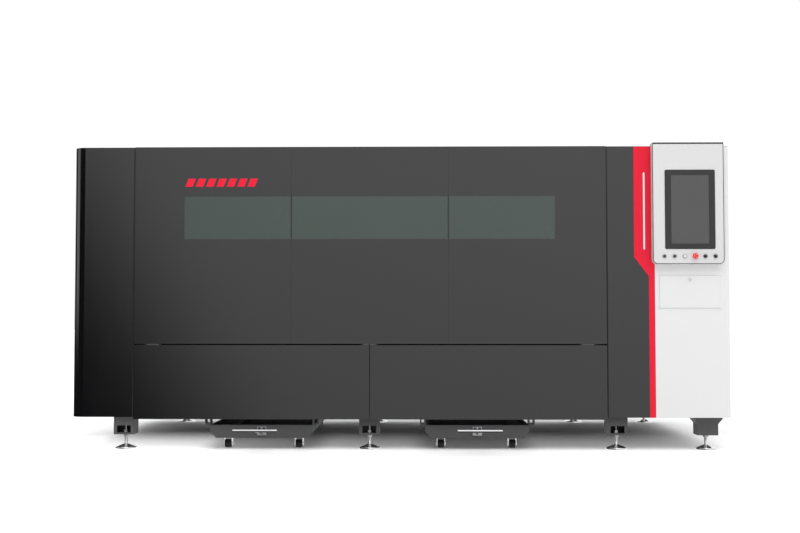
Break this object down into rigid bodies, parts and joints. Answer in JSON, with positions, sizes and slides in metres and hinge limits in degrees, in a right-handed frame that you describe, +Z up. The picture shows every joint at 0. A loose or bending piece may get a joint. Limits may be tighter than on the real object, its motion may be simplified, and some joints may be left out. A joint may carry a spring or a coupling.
{
  "type": "enclosed sheet laser cutter",
  "caption": "Enclosed sheet-metal laser cutting machine with lifting front door, access flaps, gantry and head, control console and rolling scrap carts.",
  "frame": {"origin": "on the floor under the middle of the machine's box", "axes": "+X along the machine to the control end, -Y towards the operator, +Z up"},
  "size_m": [4.528, 2.927, 2.098],
  "materials": {
    "dark_panel": "satin charcoal powder coat",
    "red_panel": "satin red powder coat",
    "white_panel": "fine white powder coat",
    "frame_paint": "dark grey paint",
    "door_alloy": "anodised, dark",
    "tinted_glass": "greenish grey laser-safe tint",
    "bright_steel": "bright plated steel",
    "bare_steel": "ground steel",
    "cart_bar": "drawn bar with clear lacquer",
    "black_rubber": "moulded black rubber",
    "gantry_paint": "light grey paint",
    "motor_black": "black paint",
    "head_alloy": "fine machined",
    "nozzle_copper": "turned copper alloy",
    "port_brass": "turned brass",
    "screen_frame": "dark textured plastic",
    "screen_glass": "dark display glass",
    "black_plastic": "black moulded plastic",
    "pale_plastic": "pale grey moulded plastic",
    "red_plastic": "red moulded plastic",
    "lock_chrome": "plated"
  },
  "bodies": {
    "machine_frame": {"legs": "frame_paint", "foot_pads": "bright_steel", "foot_studs": "bright_steel", "foot_nuts": "bright_steel", "bed_frame": "frame_paint", "front_frame": "frame_paint", "left_panel": "dark_panel", "front_panel_right": "dark_panel", "trim_strip": "red_panel", "cabinet_shell": "white_panel", "roof_panels": "dark_panel", "wall_panels": "dark_panel", "exhaust_spigot": "bright_steel", "service_ports": "port_brass", "door_guides": "bare_steel", "flap_hinges": "frame_paint", "cart_stirrups": "frame_paint", "slat_ledges": "frame_paint", "slats": "bare_steel", "long_rails": "bare_steel", "long_racks": "bare_steel", "console_box": "white_panel", "screen_bezel": "screen_frame", "screen_glass": "screen_glass", "button_rings": "bare_steel", "keyboard_tray": "frame_paint", "laser_source": "frame_paint"},
    "front_door": {"door_frame": "door_alloy", "door_skins": "dark_panel", "door_windows": "tinted_glass"},
    "left_flap": {"flap_left": "dark_panel"},
    "right_flap": {"flap_right": "dark_panel"},
    "side_door": {"cabinet_door": "white_panel"},
    "left_cart": {"cart_left_tray": "frame_paint", "cart_left_forks": "bright_steel", "cart_left_tow_bar": "cart_bar"},
    "left_cart_front_wheels": {"cart_left_front_wheels": "black_rubber"},
    "left_cart_rear_wheels": {"cart_left_rear_wheels": "black_rubber"},
    "right_cart": {"cart_right_tray": "frame_paint", "cart_right_forks": "bright_steel", "cart_right_tow_bar": "cart_bar"},
    "right_cart_front_wheels": {"cart_right_front_wheels": "black_rubber"},
    "right_cart_rear_wheels": {"cart_right_rear_wheels": "black_rubber"},
    "gantry": {"gantry_beam": "gantry_paint", "gantry_blocks": "bare_steel", "gantry_drives": "motor_black", "cross_rails": "bare_steel"},
    "gantry_pinions": {"gantry_pinions": "bare_steel"},
    "carriage": {"cross_carriage": "gantry_paint"},
    "head": {"lift_plate": "gantry_paint", "cutting_head": "head_alloy", "nozzle": "nozzle_copper"},
    "button_1": {"button_1": "black_plastic"},
    "button_2": {"button_2": "black_plastic"},
    "button_3": {"button_3": "pale_plastic"},
    "stop_button": {"stop_button": "red_plastic"},
    "selector_left": {"selector_left": "black_plastic"},
    "selector_right": {"selector_right": "black_plastic"},
    "keyboard_flap": {"keyboard_flap": "white_panel"},
    "flap_lock": {"flap_lock": "lock_chrome"}
  },
  "joints": [
    {"name": "front_door_lift", "type": "slide", "parent": "machine_frame", "child": "front_door", "axis": [0, 0, 1], "range_m": [0, 0.95]},
    {"name": "left_flap_swing", "type": "hinge", "parent": "machine_frame", "child": "left_flap", "pos_m": [-1, -1.1325, 0.719], "axis": [-1, 0, 0], "range_deg": [0, 88]},
    {"name": "right_flap_swing", "type": "hinge", "parent": "machine_frame", "child": "right_flap", "pos_m": [0.6, -1.1325, 0.719], "axis": [-1, 0, 0], "range_deg": [0, 88]},
    {"name": "side_door_swing", "type": "hinge", "parent": "machine_frame", "child": "side_door", "pos_m": [2.263, 0.373, 1.15], "axis": [0, 0, 1], "range_deg": [0, 110]},
    {"name": "left_cart_roll", "type": "slide", "parent": "machine_frame", "child": "left_cart", "axis": [0, -1, 0], "range_m": [0, 1.5]},
    {"name": "left_cart_front_wheel_spin", "type": "hinge", "parent": "left_cart", "child": "left_cart_front_wheels", "pos_m": [-0.947, -0.9605, 0.03], "axis": [1, 0, 0], "continuous": true},
    {"name": "left_cart_rear_wheel_spin", "type": "hinge", "parent": "left_cart", "child": "left_cart_rear_wheels", "pos_m": [-0.947, 0.9995, 0.03], "axis": [1, 0, 0], "continuous": true},
    {"name": "right_cart_roll", "type": "slide", "parent": "machine_frame", "child": "right_cart", "axis": [0, -1, 0], "range_m": [0, 1.5]},
    {"name": "right_cart_front_wheel_spin", "type": "hinge", "parent": "right_cart", "child": "right_cart_front_wheels", "pos_m": [0.534, -0.9605, 0.03], "axis": [1, 0, 0], "continuous": true},
    {"name": "right_cart_rear_wheel_spin", "type": "hinge", "parent": "right_cart", "child": "right_cart_rear_wheels", "pos_m": [0.534, 0.9995, 0.03], "axis": [1, 0, 0], "continuous": true},
    {"name": "gantry_travel", "type": "slide", "parent": "machine_frame", "child": "gantry", "axis": [1, 0, 0], "range_m": [0, 2.7]},
    {"name": "pinion_spin", "type": "hinge", "parent": "gantry", "child": "gantry_pinions", "pos_m": [-1.79, -0.7805, 0.866], "axis": [0, 1, 0], "continuous": true},
    {"name": "carriage_travel", "type": "slide", "parent": "gantry", "child": "carriage", "axis": [0, 1, 0], "range_m": [0, 1.55]},
    {"name": "head_lift", "type": "slide", "parent": "carriage", "child": "head", "axis": [0, 0, -1], "range_m": [0, 0.11]},
    {"name": "button_1_press", "type": "slide", "parent": "machine_frame", "child": "button_1", "axis": [0, 1, 0], "range_m": [0, 0.004], "stiffness_N_per_m": 300},
    {"name": "button_2_press", "type": "slide", "parent": "machine_frame", "child": "button_2", "axis": [0, 1, 0], "range_m": [0, 0.004], "stiffness_N_per_m": 300},
    {"name": "button_3_press", "type": "slide", "parent": "machine_frame", "child": "button_3", "axis": [0, 1, 0], "range_m": [0, 0.004], "stiffness_N_per_m": 300},
    {"name": "stop_button_press", "type": "slide", "parent": "machine_frame", "child": "stop_button", "axis": [0, 1, 0], "range_m": [0, 0.006], "stiffness_N_per_m": 600},
    {"name": "selector_left_turn", "type": "hinge", "parent": "machine_frame", "child": "selector_left", "pos_m": [2.08, -1.1845, 1.321], "axis": [0, -1, 0], "range_deg": [-45, 45]},
    {"name": "selector_right_turn", "type": "hinge", "parent": "machine_frame", "child": "selector_right", "pos_m": [2.149, -1.1845, 1.321], "axis": [0, -1, 0], "range_deg": [-45, 45]},
    {"name": "keyboard_flap_swing", "type": "hinge", "parent": "machine_frame", "child": "keyboard_flap", "pos_m": [1.987, -1.1245, 0.972], "axis": [1, 0, 0], "range_deg": [0, 95]},
    {"name": "flap_lock_turn", "type": "hinge", "parent": "keyboard_flap", "child": "flap_lock", "pos_m": [1.987, -1.1245, 1.164], "axis": [0, -1, 0], "range_deg": [0, 90]}
  ],
  "couplings": [
    {"joint": "left_cart_front_wheel_spin", "follows": "left_cart_roll", "rad_per_m": 33.333},
    {"joint": "left_cart_rear_wheel_spin", "follows": "left_cart_roll", "rad_per_m": 33.333},
    {"joint": "right_cart_front_wheel_spin", "follows": "right_cart_roll", "rad_per_m": 33.333},
    {"joint": "right_cart_rear_wheel_spin", "follows": "right_cart_roll", "rad_per_m": 33.333},
    {"joint": "pinion_spin", "follows": "gantry_travel", "rad_per_m": 25}
  ]
}
